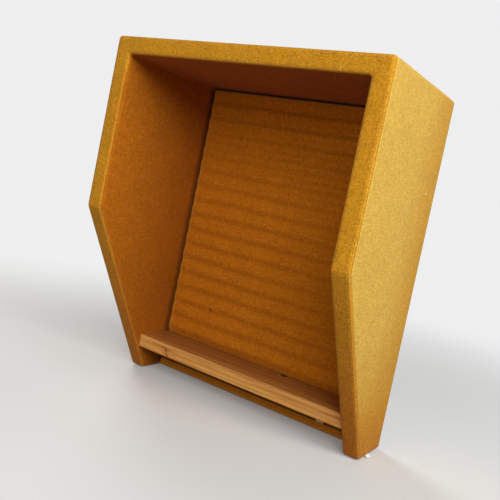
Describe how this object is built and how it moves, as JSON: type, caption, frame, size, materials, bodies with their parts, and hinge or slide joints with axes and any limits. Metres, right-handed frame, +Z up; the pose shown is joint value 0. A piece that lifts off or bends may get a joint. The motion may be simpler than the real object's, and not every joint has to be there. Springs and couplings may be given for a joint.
{
  "type": "acoustic phone wall",
  "caption": "Wall-hung acoustic phone hood: felt-covered padded sides and top that slope in to the foot, a rippled insert at the back, a timber shelf and a low rail.",
  "frame": {"origin": "centre of the four wall fixing holes, on the wall plane", "axes": "+X to the right seen from the open front, +Y into the wall, +Z up"},
  "size_m": [0.787, 0.45, 0.94],
  "materials": {
    "outer_felt": "ochre wool felt, matt",
    "inner_felt": "ochre wool felt, matt",
    "foam": "open-cell foam, matt",
    "plywood": "raw birch plywood",
    "hardboard": "raw hardboard",
    "shelf_wood": "oiled solid timber",
    "steel": "zinc-plated steel",
    "lining": "black spunbond lining",
    "strip": "black hook and loop tape",
    "tab": "off-white woven tape"
  },
  "bodies": {
    "root": {"front_band_cover": "outer_felt", "left_outer_cover": "outer_felt", "right_outer_cover": "outer_felt", "top_outer_cover": "outer_felt", "left_inner_cover": "inner_felt", "right_inner_cover": "inner_felt", "top_inner_cover": "inner_felt", "insert_cover": "inner_felt", "rail_cover": "inner_felt", "left_nose_foam": "foam", "right_nose_foam": "foam", "top_nose_foam": "foam", "left_outer_foam": "foam", "right_outer_foam": "foam", "left_inner_foam": "foam", "right_inner_foam": "foam", "top_outer_foam": "foam", "top_inner_foam": "foam", "insert_foam": "foam", "left_side_core": "plywood", "right_side_core": "plywood", "top_core": "plywood", "back_board": "plywood", "rail_core": "plywood", "insert_board": "hardboard", "shelf_board": "shelf_wood", "shelf_pins": "steel", "back_screws": "steel", "corner_screws": "steel", "wall_plates": "steel", "wall_plate_screws": "steel", "back_lining": "lining", "hook_strips": "strip", "loop_strips": "strip", "sewn_tabs": "tab"}
  },
  "joints": []
}
